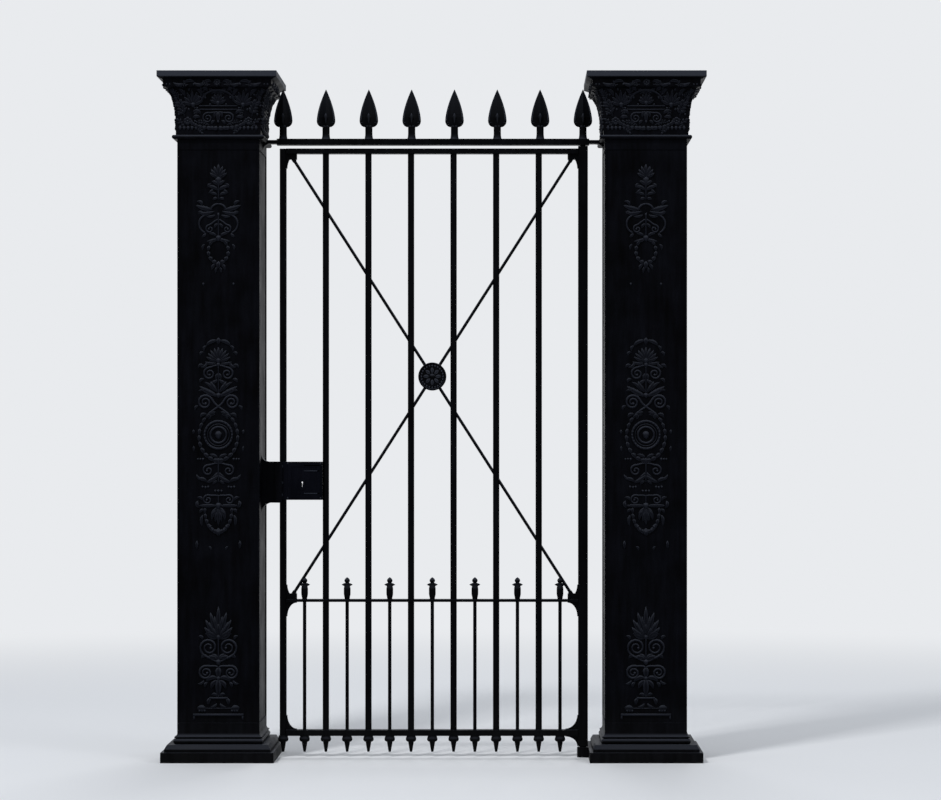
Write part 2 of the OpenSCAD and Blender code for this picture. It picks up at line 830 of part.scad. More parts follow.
// The holes for the main bars and the dog bars, through a rail at height z
module rail_holes(z, thickness) {
    for (i = [1:bays - 1])
        translate([bar_x(i), 0, z - past]) cylinder(r = bar_r + hole_play, h = thickness + 2 * past);
    for (i = [0:bays - 1])
        translate([dog_x(i), 0, z - past]) cylinder(r = dog_r + hole_play, h = thickness + 2 * past);
}

module top_rail() {
    color(iron) rail(top_rail_z, top_rail_t);
}

module middle_rail() {
    color(iron) difference() {
        rail(mid_rail_z, mid_rail_t);
        rail_holes(mid_rail_z, mid_rail_t);
    }
}

module bottom_rail() {
    color(iron) difference() {
        rail(low_rail_z, low_rail_t);
        rail_holes(low_rail_z, low_rail_t);
    }
}

// A stretch of one diagonal, from the boss towards the corner on side sx and sz
module diagonal_rod(sx, sz, radius, from, to) {
    translate([boss_x, 0, boss_z]) rotate([0, atan2(sx * brace_w, sz * brace_h), 0])
        translate([0, 0, from]) cylinder(r = radius, h = to - from);
}

// Main bar number i, counted from the latch stile, pierced where the diagonals pass through it
module main_bar(i) {
    x = bar_x(i);
    sx = x < boss_x ? -1 : 1;
    color(iron) difference() {
        translate([x, 0, low_rail_z]) {
            cylinder(r = bar_r, h = top_rail_z - low_rail_z);
            spike();
        }
        for (sz = [-1, 1])
            diagonal_rod(sx, sz, rod_r + hole_play, 0, brace_run);
    }
}

// A turned profile that eases from one radius to the next between two heights
function eased(r1, r2, z1, z2, steps = 6) = [
    for (i = [0:steps]) [r1 + (r2 - r1) * (1 - cos(180 * i / steps)) / 2, z1 + (z2 - z1) * i / steps]
];

// A stem that swells above its foot, a neck with two pointed arms, and a leaf that ends in a point
module finial() {
    steps = 8;
    arm_steps = 12;
    swell_z = 0.26 * finial_h;
    waist_z = 0.44 * finial_h;
    arm_z = 0.66 * finial_h;
    neck_z = 0.72 * finial_h;
    leaf_z = 0.83 * finial_h;
    rotate_extrude() polygon(concat(
        [[0, 0]],
        eased(finial_foot_r, finial_r, 0, swell_z),
        eased(finial_r, finial_neck_r, waist_z, neck_z),
        eased(finial_neck_r - finial_dip, leaf_r, neck_z + lap, leaf_z),
        [for (i = [1:steps]) let (u = i / steps) [leaf_r * (1 - pow(u, 2.2)) + 0.3, leaf_z + (finial_h - leaf_z) * u]],
        [[0, finial_h]]
    ));
    translate([0, 0, arm_z]) rotate([0, 90, 0]) rotate_extrude() polygon(concat(
        [[0, -arm_reach]],
        [for (i = [0:arm_steps]) let (u = 2 * i / arm_steps - 1) [arm_r * (1 - u * u) + 0.3, arm_reach * u]],
        [[0, arm_reach]]
    ));
}

// Number i of the dog bars, with the way cut through its finial where a diagonal passes
module dog_bar(i) {
    x = dog_x(i);
    sx = x < boss_x ? -1 : 1;
    difference() {
        translate([x, 0, low_rail_z]) {
            cylinder(r = dog_r, h = mid_rail_top - low_rail_z);
            spike();
            translate([0, 0, mid_rail_top - low_rail_z]) finial();
        }
        diagonal_rod(sx, -1, rod_r + hole_play, 0, brace_run);
    }
}

module dog_bars() {
    color(iron) for (i = [0:bays - 1]) dog_bar(i);
}

module rod(sx, sz) {
    color(iron) diagonal_rod(sx, sz, rod_r, rod_start, brace_run - lug_run);
}

// The outline that fills the corner at 0 towards +x and +y, hollowed to a quarter oval
module swept_corner(w, h) {
    steps = 12;
    polygon(concat([[0, 0], [w, 0]], [for (i = [0:steps]) [
        w - (w - plate_tip) * sin(90 * i / steps),
        h - (h - plate_tip) * cos(90 * i / steps)
    ]], [[0, h]]));
}

module swept_plate(w, h) {
    rotate([90, 0, 0]) linear_extrude(plate_t, center = true) swept_corner(w, h);
}

// A swept plate with a block in its corner, and a lug on the block that a rod butts on
module rod_plate() {
    rotate([90, 0, 0]) linear_extrude(plate_t, center = true) {
        swept_corner(plate_w, plate_h);
        square([plate_w, lug_h]);
        intersection() {
            square(plate_w + lug_run);
            translate([rod_aim, 0]) rotate(atan2(brace_h, brace_w))
                translate([0, -lug_w / 2]) square([lug_run, lug_w]);
        }
    }
}

module in_corner(x, z, dx, dz) {
    translate([x, 0, z]) mirror([dx < 0 ? 1 : 0, 0, 0]) mirror([0, 0, dz < 0 ? 1 : 0]) children();
}

module top_corner_plates() {
    color(iron) {
        in_corner(panel_left, top_rail_z, 1, -1) rod_plate();
        in_corner(panel_right, top_rail_z, -1, -1) rod_plate();
    }
}

module middle_corner_plates() {
    color(iron) {
        in_corner(panel_left, mid_rail_top, 1, 1) rod_plate();
        in_corner(panel_right, mid_rail_top, -1, 1) rod_plate();
        in_corner(panel_left, mid_rail_z, 1, -1) swept_plate(plate_w, plate_h);
        in_corner(panel_right, mid_rail_z, -1, -1) swept_plate(plate_w, plate_h);
    }
}

// The plate under the rail runs down to the foot of the heel stile
module bottom_corner_plates() {
    color(iron) {
        in_corner(panel_left, low_rail_top, 1, 1) swept_plate(plate_w, plate_h);
        in_corner(panel_right, low_rail_top, -1, 1) swept_plate(heel_plate_w, plate_h);
        in_corner(panel_right, low_rail_z, -1, -1) swept_plate(heel_plate_w, low_rail_z - heel_foot_z);
    }
}

// Half the boss's outline, from its middle out to its rim, for one face
module boss_face() {
    half_web = web_t / 2;
    rim_face = half_web + rim_h;
    disc_face = half_web + disc_h;
    square([boss_r, half_web]);
    translate([boss_r - rim_w, 0]) polygon([
        [0, 0],
        [rim_w, 0],
        [rim_w, rim_face - rim_cut],
        [rim_w - rim_cut, rim_face],
        [rim_cut, rim_face],
        [0, rim_face - rim_cut]
    ]);
    square([disc_r, disc_face]);
    intersection() {
        square([knob_r, disc_face + knob_h]);
        translate([0, disc_face + knob_h - knob_r]) circle(knob_r);
    }
}

module centre_boss() {
    color(iron) difference() {
        translate([boss_x, 0, boss_z]) rotate([90, 0, 0]) rotate_extrude() {
            boss_face();
            mirror([0, 1]) boss_face();
        }
        for (sx = [-1, 1], sz = [-1, 1])
            diagonal_rod(sx, sz, rod_r + hole_play, rod_start, boss_r + rod_r);
    }
}

module lock_case() {
    color(iron) difference() {
        translate([lock_left, -lock_d / 2, lock_low]) cube([lock_right - lock_left, lock_d, lock_h]);
        translate([latch_x - stile_w, -stile_w / 2, lock_low - past])
            cube([1.5 * stile_w, stile_w, lock_h + 2 * past]);
        translate([panel_left + lock_wall, -lock_d / 2 - past, lock_low + lock_wall])
            cube([lock_right - panel_left - 2 * lock_wall, lock_d - lock_wall + past, lock_h - 2 * lock_wall]);
        translate([key_x, lock_d / 2 + past, key_z]) rotate([90, 0, 0]) linear_extrude(lock_d / 2) keyhole();
    }
}

// The keyhole's outline, with its round top at 0
module keyhole() {
    circle(keyhole_r);
    translate([-keyhole_w / 2, -keyhole_h]) square([keyhole_w, keyhole_h]);
}

// The frame left between one rectangle and the same set in by width, with its corner at 0
module border(w, h, width) {
    difference() {
        square([w, h]);
        translate([width, width]) square([w - 2 * width, h - 2 * width]);
    }
}

module lock_cover() {
    color(iron_worn) difference() {
        union() {
            translate([lock_left, cover_y, lock_low]) cube([lock_right - lock_left, cover_t, lock_h]);
            translate([panel_left + border_inset, cover_y + lap, lock_low + border_inset]) rotate([90, 0, 0])
                linear_extrude(border_t + lap)
                    border(lock_right - panel_left - 2 * border_inset, lock_h - 2 * border_inset, border_w);
        }
        translate([key_x, 0, key_z]) rotate([90, 0, 0]) linear_extrude(lock_d) keyhole();
    }
}

module escutcheon() {
    drop = (keyhole_h - keyhole_r) / 2;
    color(iron_worn) translate([key_x, cover_y, key_z]) rotate([90, 0, 0])
        linear_extrude(border_t) difference() {
            translate([0, -drop]) {
                for (side = [-1, 1])
                    translate([0, side * escutcheon_h / 2]) circle(escutcheon_r);
                square([2 * escutcheon_r, escutcheon_h], center = true);
            }
            keyhole();
        }
}

// Puts a piece of a pier at its height on one of the two piers
module on_hinge_pier(z) {
    translate([0, 0, z]) children();
}

module on_latch_pier(z) {
    translate([-pier_spacing, 0, z]) children();
}

on_hinge_pier(0) plinth();  // hinge_plinth
on_hinge_pier(base_z) base_moulding();  // hinge_base_moulding
on_hinge_pier(shaft_z) shaft(false);  // hinge_shaft
on_hinge_pier(neck_z) necking(-1);  // hinge_necking
on_hinge_pier(bell_z) bell();  // hinge_bell
on_hinge_pier(cap_z) cap();  // hinge_cap
on_latch_pier(0) plinth();  // latch_plinth
on_latch_pier(base_z) base_moulding();  // latch_base_moulding
on_latch_pier(shaft_z) shaft(true);  // latch_shaft
on_latch_pier(neck_z) necking(1);  // latch_necking
on_latch_pier(bell_z) bell();  // latch_bell
on_latch_pier(cap_z) cap();  // latch_cap
lintel();
spearheads();
keep();
foot_socket();
heel_stile();
latch_stile();
top_rail();
middle_rail();
bottom_rail();
main_bar(1);  // bar_1
main_bar(2);  // bar_2
main_bar(3);  // bar_3
main_bar(4);  // bar_4
main_bar(5);  // bar_5
main_bar(6);  // bar_6
dog_bars();
rod(-1, 1);  // rod_upper_latch
rod(1, 1);  // rod_upper_heel
rod(-1, -1);  // rod_lower_latch
rod(1, -1);  // rod_lower_heel
centre_boss();
top_corner_plates();
middle_corner_plates();
bottom_corner_plates();
lock_case();
lock_cover();
escutcheon();
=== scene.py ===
"""Single-leaf iron gate between two cast box piers: shafts and relief, fasteners, paint, and the studio.

Sizes are in millimetres and are turned to metres where a mesh is made. A place on a face is (across, up),
with up measured from the ground, and a relief stands out from the face by its height.
"""
import json
import math

import bmesh
import bpy
import numpy as np
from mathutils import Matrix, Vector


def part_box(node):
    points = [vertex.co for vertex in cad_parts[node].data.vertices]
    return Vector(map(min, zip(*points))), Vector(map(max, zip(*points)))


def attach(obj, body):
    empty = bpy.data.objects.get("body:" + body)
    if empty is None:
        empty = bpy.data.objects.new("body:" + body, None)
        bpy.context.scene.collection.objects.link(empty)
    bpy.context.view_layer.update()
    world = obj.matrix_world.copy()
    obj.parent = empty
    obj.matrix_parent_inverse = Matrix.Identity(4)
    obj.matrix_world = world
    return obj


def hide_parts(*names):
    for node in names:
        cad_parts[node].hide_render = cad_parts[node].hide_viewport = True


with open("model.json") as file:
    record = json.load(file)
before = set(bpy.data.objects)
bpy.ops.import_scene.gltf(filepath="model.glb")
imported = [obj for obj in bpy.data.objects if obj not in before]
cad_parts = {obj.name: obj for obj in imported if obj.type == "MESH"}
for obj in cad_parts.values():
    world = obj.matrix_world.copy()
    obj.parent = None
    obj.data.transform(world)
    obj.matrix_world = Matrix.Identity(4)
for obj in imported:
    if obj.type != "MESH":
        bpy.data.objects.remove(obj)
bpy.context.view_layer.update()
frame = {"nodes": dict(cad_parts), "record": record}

MM = 0.001

# A shaft's side: the panel's depth, its frame's width at the sides and at the ends, and the wall's thickness
SUNK = 4.0
BORDER = 9.0
MARGIN = 46.0
WALL = 14.0
# How far the bell's foot stands past the shaft, that foot's height, and how far the cap's upright face stands
# past the bell's top
NECK_OUT = 6.0
BELL_FOOT = 56.0
FASCIA_OUT = 3.0
# The boss: the knob's rise above the disc, the disc's above the web, and the radius midway from disc to rim
BOSS_KNOB = 8.0
BOSS_DISC = 4.0
BOSS_GROOVE = 49.5
# Rise of the border on the lock's cover
COVER_BORDER = 3.0
# How far a leaf's blunt tip runs past its length
LEAF_TIP = 3.0


def corner(node, which):
    """A corner of a node's box in millimetres, 0 for the lowest and 1 for the highest."""
    return np.array(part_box(node)[which]) / MM


# The moulding profiles that a stroke carries, as (across, out) round one closed section
ROUND = np.array([(1, -0.15), (0.74, 0.66), (0, 1), (-0.74, 0.66), (-1, -0.15), (0, -0.4)])
VEINED = np.array([(1, -0.15), (0.55, 0.95), (0, 0.55), (-0.55, 0.95), (-1, -0.15), (0, -0.4)])
FLAT = np.array([(1, -0.15), (0.86, 1), (0, 1), (-0.86, 1), (-1, -0.15), (0, -0.4)])


# Strokes: each is (path, half width, height, profile, closed)

def line(start, end, half_width, height, profile=ROUND):
    """A straight moulding of one section."""
    return np.array([start, end], float), half_width, height, profile, False


def bow(root, tip, bend, steps):
    """Points from root to tip along a parabola that stands off the straight line by bend times its length."""
    root, tip = np.array(root, float), np.array(tip, float)
    t = np.linspace(0, 1, steps)[:, None]
    chord = tip - root
    return root + t * chord + 4 * bend * t * (1 - t) * np.array([-chord[1], chord[0]])


def leaf(root, angle, length, width, bend=0.0, height=8.5, lobes=0, profile=VEINED):
    """A leaf from a root at an angle in degrees, widest halfway along.

    Its half width is width times 2.6 t (1 - t) and a millimetre, t running from root to tip, less a seventh
    where a lobe ends. Its height follows the same swell to the power 0.4.
    """
    steps = 11 if lobes else 9
    t = np.linspace(0, 1, steps)
    swell = 4 * t * (1 - t)
    notch = 1 - 0.15 * np.cos(np.pi * lobes * t) ** 2 if lobes else 1.0
    way = np.array([math.cos(math.radians(angle)), math.sin(math.radians(angle))])
    tip = np.array(root) + (length + LEAF_TIP) * way
    half_width = 0.65 * width * swell * notch + 1.0
    return bow(root, tip, bend, steps), half_width, height * swell ** 0.4 + 0.3, profile, False


def blade(root, tip, width, bend=0.0, height=6.0, profile=VEINED):
    """A leaf between two points."""
    way = np.array(tip, float) - np.array(root, float)
    angle = math.degrees(math.atan2(way[1], way[0]))
    return leaf(root, angle, np.linalg.norm(way) - LEAF_TIP, width, bend, height, 0, profile)


def stem(root, tip, bend=0.0, half_width=5.0, height=6.5, end=0.8):
    """A round stalk on a bowed line, thinner at its tip by the share given."""
    steps = 11
    taper = np.linspace(1, end, steps)
    return bow(root, tip, bend, steps), half_width * taper, height * taper, ROUND, False


def palmette(root, facing, spread, count, length, width, fall, height=8.5):
    """Leaves spread evenly about a direction from a root, the outer ones shorter by up to the share fall."""
    return [leaf(root, facing + spread * share, length * (1 - fall * abs(share)), width, 0.10 * share, height)
            for share in np.linspace(-1, 1, count)]


def ring(centre, radius, half_width=6.2, height=7.5, profile=ROUND, steps=36):
    """A moulding carried round a circle."""
    a = np.linspace(0, 2 * np.pi, steps, endpoint=False)
    path = np.column_stack((centre[0] + radius * np.cos(a), centre[1] + radius * np.sin(a)))
    return path, half_width, height, profile, True


def arc(centre, radius, start, end, half_width=6.2, height=7.5, squash=1.0):
    """A tapered moulding along part of a circle or oval, from one angle to another in degrees."""
    steps = 19
    a = np.radians(np.linspace(start, end, steps))
    path = np.column_stack((centre[0] + radius * np.cos(a), centre[1] + squash * radius * np.sin(a)))
    swell = np.sin(np.linspace(0.16, 0.84, steps) * np.pi) ** 0.5
    return path, half_width * swell, height * swell, ROUND, False


def berry(centre, radius, height):
    """A dome, as a stroke whose half width and height both follow the sine of the way across it."""
    a = np.linspace(0.04, np.pi - 0.04, 7)
    path = np.column_stack((np.full(7, float(centre[0])), centre[1] - radius * np.cos(a)))
    return path, radius * np.sin(a), height * np.sin(a), ROUND, False


def scroll(root, leaving, centre, radius, turns, way, half_width=6.0, height=8.0):
    """A stalk that winds into a volute and ends on a berry.

    The stalk is a cubic that leaves root at an angle in degrees and meets the volute along its tangent. The
    volute's radius falls evenly with the angle turned through, to a fifth of what it was.
    """
    root, centre = np.array(root, float), np.array(centre, float)
    first = math.atan2(*(root - centre)[::-1]) + way * 0.9
    s = np.linspace(0, 1, 26)
    turned_by = first + way * 2 * np.pi * turns * s
    reach = radius * (1 - 0.78 * s)
    volute = centre + reach[:, None] * np.column_stack((np.cos(turned_by), np.sin(turned_by)))
    start = volute[0]
    pull = np.linalg.norm(start - root)
    out = pull * np.array([math.cos(math.radians(leaving)), math.sin(math.radians(leaving))])
    into = pull * way * np.array([-math.sin(first), math.cos(first)])
    t = np.linspace(0, 1, 9)[:-1, None]
    stalk = ((2 * t ** 3 - 3 * t ** 2 + 1) * root + (t ** 3 - 2 * t ** 2 + t) * out
             + (3 * t ** 2 - 2 * t ** 3) * start + (t ** 3 - t ** 2) * into)
    path = np.vstack((stalk, volute))
    taper = np.interp(np.linspace(0, 1, len(path)), (0, 0.35, 1), (0.72, 1.0, 0.62))
    return [(path, half_width * taper, height * taper, ROUND, False),
            berry(volute[-1], half_width * 1.1, height * 1.25)]


def sprig(root, angle, length, pairs, width, bend=0.0, height=5.0):
    """A thin stalk with pairs of small leaves along it and one at its tip."""
    way = np.array([math.cos(math.radians(angle)), math.sin(math.radians(angle))])
    tip = np.array(root, float) + length * way
    path = bow(root, tip, bend, pairs + 2)
    made = [stem(root, tip, bend, 2.2, height * 0.8)]
    for k in range(1, pairs + 1):
        reach = width * (1.35 - 0.5 * k / pairs)
        made += [leaf(path[k], angle + turn, reach, 0.42 * width, 0.1, height) for turn in (48, -48)]
    return made + [leaf(path[-1] - 3 * way, angle, width, 0.5 * width, 0, height)]


def husks(centre, a, b, count, length, width, start, end, height=8.5):
    """Pointed husks down an oval of half widths a and b, from one angle to another, the last ones widest."""
    made = []
    for i in range(count):
        t = math.radians(start + (end - start) * (i + 0.5) / count)
        turn = 1 if end > start else -1
        way = turn * np.array([-a * math.sin(t), b * math.cos(t)])
        way /= np.linalg.norm(way)
        middle = np.array([centre[0] + a * math.cos(t), centre[1] + b * math.sin(t)])
        wide = width * (0.6 + 0.4 * (i + 1) / count)
        made.append(blade(middle - 0.54 * length * way, middle + 0.54 * length * way, wide * 1.1, 0, height))
    return made


def rosette(centre, radius, petals, height):
    """Petals round a berry, each a short leaf."""
    centre = np.array(centre, float)
    width = radius * 3.6 / petals
    made = [berry(centre, radius * 0.3, height * 1.3)]
    for angle in np.linspace(90, 450, petals, endpoint=False):
        way = np.array([math.cos(math.radians(angle)), math.sin(math.radians(angle))])
        made.append(blade(centre + way * radius * 0.2, centre + way * radius, width, 0, height))
    return made


def both(strokes):
    """The strokes and their mirror images across the middle of the face."""
    return strokes + [(path * (-1, 1), w, h, profile, closed) for path, w, h, profile, closed in strokes]


# The relief of a shaft's face, in three motifs one above the other

def top_motif():
    """A small palmette, a winged ribbon, and scrolls that hold a wreath of husks."""
    made = palmette((0, 2631), 90, 62, 7, 56, 13, 0.3)
    made += [berry((0, 2617), 17, 9), stem((0, 2612), (0, 2530), 0, 4, 6)]
    made += both([
        leaf((0, 2591), 38, 34, 14, 0.1),
        leaf((0, 2569), 22, 50, 14, 0.12),
        blade((4, 2548), (40, 2556), 11, 0.15),
        blade((30, 2600), (47, 2583), 10, 0.2),
        blade((26, 2580), (46, 2560), 10, -0.2),
        blade((3, 2534), (26, 2528), 11, 0.15),
        arc((0, 2474), 36, 14, 90, 5.5, 8),
        leaf((24, 2486), 14, 76, 20, -0.08, 9, 4),
        leaf((18, 2478), -6, 70, 15, -0.1, 8),
        blade((74, 2498), (98, 2522), 12, 0.3, 8),
        blade((14, 2462), (56, 2456), 11, -0.15),
        arc((45, 2420), 42, -70, 80, 5.5, 7.5),
        blade((70, 2456), (92, 2474), 11, 0.3),
        blade((58, 2380), (76, 2362), 11, -0.2),
        leaf((0, 2356), -14, 52, 14, -0.1),
        blade((8, 2364), (44, 2376), 11, 0.15),
        blade((62, 2330), (70, 2302), 9, 0.15, 5),
        blade((2, 2422), (20, 2400), 10, 0.1),
        berry((68, 2150), 6, 4),
    ])
    made += both(scroll((-3, 2440), 195, (-39, 2397), 19, 1.25, 1, 5.0, 8))
    made += [stem((0, 2470), (0, 2356), 0, 4.5, 6), berry((0, 2356), 14, 12)]
    made += both(husks((0, 2298), 45, 54, 6, 24, 15, 80, -80, 9))
    made += [leaf((0, 2253), -90, 32, 18, 0, 12)]
    made += both([blade((10, 2240), (30, 2212), 12, 0.15), blade((4, 2228), (12, 2198), 9, 0.1)])
    return made


def shell():
    """Over the upper pair of scrolls: a shell of leaves under a pointed hood."""
    made = palmette((0, 1803), 90, 70, 9, 60, 13, 0.1, 9)
    made += [leaf((0, 1876), 90, 30, 16, 0, 11), berry((0, 1805), 14, 10), berry((0, 1786), 10, 10)]
    made += both([
        leaf((0, 1894), -24, 60, 14, 0.14),
        blade((52, 1872), (64, 1846), 10, 0.25),
        blade((66, 1842), (82, 1826), 10, 0.3, 5),
        blade((8, 1796), (60, 1800), 13, -0.15, 8),
        blade((52, 1800), (82, 1776), 12, -0.3, 8),
        blade((64, 1782), (92, 1770), 10, 0.3, 6),
    ])
    made += both(scroll((-2, 1782), 160, (-40, 1746), 28, 1.5, 1, 5.6, 8.5))
    made += both([
        blade((2, 1748), (10, 1716), 10, 0.1),
        blade((6, 1722), (34, 1706), 13, -0.2),
        blade((62, 1720), (84, 1704), 11, 0.3, 6),
    ])
    return made


def middle_motif():
    """A roundel in a wreath of husks, with winged scrolls and a shell above it and a pendant below."""
    made = shell()
    made += [stem((0, 1645), (0, 1786), 0, 4.0, 6, 0.8), berry((0, 1648), 12, 11)]
    made += both([
        leaf((0, 1645), 28, 92, 22, -0.06, 9.5, 5),
        leaf((0, 1661), 56, 58, 16, -0.08, 9, 3),
        blade((20, 1664), (62, 1708), 12, 0.1, 7),
        blade((36, 1660), (90, 1668), 12, 0.15, 7),
        blade((8, 1640), (30, 1650), 10, 0.15, 6),
    ])
    made += both(scroll((52, 1556), 128, (-60, 1617), 34, 1.75, 1, 6.4, 9.5))
    made += both([
        blade((50, 1560), (82, 1546), 12, 0.3, 7),
        blade((40, 1566), (46, 1540), 10, -0.2, 6),
        blade((88, 1600), (104, 1580), 10, 0.3, 5),
    ])
    made += [ring((0, 1470), 62, 6.2, 8.0), ring((0, 1470), 36, 5.6, 9), ring((0, 1470), 49, 2.2, 4),
             berry((0, 1470), 18, 12)]
    beads = np.radians(np.linspace(0, 360, 26, endpoint=False))
    made += [berry((62 * math.cos(a), 1470 + 62 * math.sin(a)), 5.8, 11.5) for a in beads]
    made += both(husks((0, 1464), 87, 110, 11, 30, 15, 80, -90, 9))
    made += both([
        blade((14, 1562), (44, 1550), 10, 0.12, 5),
        blade((112, 1474), (112, 1494), 9, 0, 5),
        blade((110, 1396), (112, 1420), 8, 0, 4),
        berry((69, 1361), 6.5, 8),
        berry((81, 1361), 5.5, 7.5),
        berry((92, 1361), 5, 7),
        blade((2, 1364), (40, 1382), 12, 0.1),
    ])
    made += [stem((0, 1366), (0, 1258), 0, 5, 7.5, 0.8)]
    made += both(scroll((-3, 1342), 165, (-46, 1310), 25, 1.3, 1, 5.4, 8.5))
    made += both([
        leaf((0, 1292), -32, 64, 15, -0.1, 9),
        blade((50, 1257), (94, 1271), 14, 0.15, 9),
        blade((6, 1302), (30, 1280), 10, -0.2),
        blade((70, 1270), (98, 1292), 10, -0.2, 5),
        blade((4, 1262), (26, 1246), 11, 0.15),
        berry((46, 1236), 6, 7.5),
        berry((58, 1234), 6, 7.5),
        berry((71, 1236), 6, 7.5),
        berry((14, 1218), 6, 8),
        leaf((0, 1151), 0, 90, 13, 0, 9),
        blade((84, 1142), (92, 1174), 14, -0.25, 9),
        blade((70, 1172), (96, 1188), 10, 0.25, 5),
    ])
    made += [berry((0, 1218), 6.5, 9), berry((0, 1151), 15, 13), stem((0, 1200), (0, 1151), 0, 4, 6)]
    made += both(scroll((-2, 1196), 158, (-48, 1178), 22, 1.35, 1, 5.0, 8.5))
    made += pendant()
    return made


def pendant():
    """The bag of leaves that ends the middle motif, in a festoon of husks that grow to its tip."""
    made = palmette((0, 1148), -90, 26, 3, 84, 16, 0.2, 8)
    made += palmette((0, 1132), -90, 46, 4, 56, 14, 0.2, 7)
    made += both(husks((0, 1128), 60, 96, 6, 28, 15, 8, -84, 9))
    made += [leaf((0, 1051), -90, 34, 22, 0, 12), berry((0, 1033), 11, 13)]
    made += both([
        berry((37, 1057), 8.5, 11),
        berry((25, 1042), 7.5, 11),
        leaf((70, 1110), -86, 48, 13, 0.1, 6),
        blade((60, 1132), (84, 1118), 11, 0.25),
        blade((97, 957), (97, 994), 11, 0, 8),
        blade((34, 950), (44, 968), 8, 0.2, 4),
    ])
    return made


def paw(side):
    """A foot of the stand: a pad with three toes."""
    return [leaf((side * 54, 237), 90 - side * 84, 40, 24, 0, 9)] + [
        berry((side * (62 + 11 * toe), 228), 6.5, 10) for toe in range(3)]


def bottom_motif():
    """A palmette on two pairs of scrolls over a stand on a ledge."""
    made = palmette((0, 556), 90, 70, 9, 138, 20, 0.6, 9)
    made += palmette((0, 560), 90, 52, 6, 100, 12, 0.4, 11)
    made += palmette((0, 562), 90, 28, 3, 60, 12, 0.2, 12)
    made += [stem((0, 455), (0, 556), 0, 4.5, 6.5, 1.0), berry((0, 560), 13, 11)]
    made += both([
        blade((10, 562), (60, 572), 15, 0.2, 8),
        blade((72, 546), (90, 564), 11, 0.3, 6),
        leaf((0, 454), 10, 52, 16, 0.2, 9),
        leaf((0, 454), 44, 40, 14, 0.1),
        blade((48, 470), (78, 462), 12, 0.3),
        leaf((0, 372), -16, 56, 17, 0.22, 9),
        blade((48, 356), (58, 332), 12, 0.25, 8),
        leaf((0, 366), -50, 50, 16, 0.15, 8.5),
        blade((66, 366), (92, 350), 10, -0.25, 5),
        leaf((34, 286), -72, 32, 15, 0.15, 9),
        blade((4, 290), (32, 300), 12, 0.25),
        blade((8, 262), (36, 246), 11, -0.25),
    ])
    made += both(scroll((-2, 448), 165, (-43, 513), 42, 1.75, -1, 6.0, 9))
    made += both(scroll((-2, 424), 140, (-57, 399), 32, 1.75, 1, 6.2, 9.5))
    made += [berry((0, 447), 14, 13), leaf((0, 376), -90, 80, 28, 0, 10), berry((0, 374), 11, 11),
             leaf((0, 428), -90, 52, 26, 0, 10), stem((0, 300), (0, 284), 0, 5, 7)]
    made += [line((-41, 285), (41, 285), 5.2, 7.5), line((-60, 239), (60, 239), 2.5, 5)]
    made += paw(1) + paw(-1)
    made += [line((-113, 210.5), (113, 210.5), 5.4, 9, FLAT)]
    made += both([line((109, 206), (109, 190), 4, 6, FLAT)])
    return made


def bell_relief():
    """A hooded palmette between fans of leaves over a swag with scrolls, and a flower on the cap's face."""
    made = [arc((0, 2964), 76, 0, 180, 5.2, 8, 0.71)]
    made += palmette((0, 2962), 90, 66, 7, 42, 12, 0.2, 8)
    made += [berry((0, 2962), 11, 12)]
    for side in (-1, 1):
        made += palmette((side * 112, 2956), 90 - side * 4, 68, 7, 62, 13, 0.3, 9)
        made += [berry((side * 112, 2954), 12, 12)]
        made += rosette((side * 137, 2882), 20, 6, 9)
        made += sprig((side * 152, 2900), 90 - side * 24, 78, 4, 22, side * 0.1, 8)
        made += sprig((side * 160, 2870), 90 - side * 50, 22, 1, 16, 0, 7)
        made += sprig((side * 92, 2862), 90 + side * 150, 34, 2, 15, 0, 6)
    made += [line((-86, 2950), (86, 2950), 3.4, 6.5), line((-86, 2934), (86, 2934), 3.4, 6.5)]
    made += both(scroll((-2, 2922), 175, (-47, 2896), 24, 1.5, 1, 4.8, 8))
    made += both([
        blade((78, 2912), (112, 2928), 13, 0.2, 8),
        blade((80, 2898), (116, 2896), 13, 0.15, 8),
        blade((4, 2926), (16, 2898), 12, 0.15),
        blade((14, 2884), (30, 2866), 11, 0.2),
        blade((86, 2962), (98, 2988), 11, 0.15),
        blade((74, 2998), (94, 3022), 12, 0.2, 8),
        blade((44, 3014), (70, 3024), 12, 0.2, 8),
        blade((14, 3020), (38, 3024), 11, -0.2, 7),
        blade((24, 3052), (62, 3046), 13, 0.2, 7),
        blade((58, 3044), (104, 3050), 13, -0.2, 7),
        blade((100, 3050), (150, 3045), 13, 0.2, 7),
        blade((146, 3045), (196, 3050), 13, -0.2, 7),
        berry((61, 3054), 5, 7),
        berry((104, 3042), 5, 7),
        berry((148, 3054), 5, 7),
        blade((168, 2940), (196, 2966), 14, 0.2, 8),
        blade((190, 2996), (216, 3018), 14, 0.15, 8),
        blade((146, 2990), (176, 3022), 13, 0.15, 8),
    ])
    made += [leaf((0, 2926), -90, 48, 16, 0, 9), berry((0, 2880), 7, 9)]
    made += both(husks((0, 2884), 122, 36, 7, 26, 15, -4, -90, 9))
    made += rosette((0, 3049), 18, 8, 9)
    return made + bell_filling()


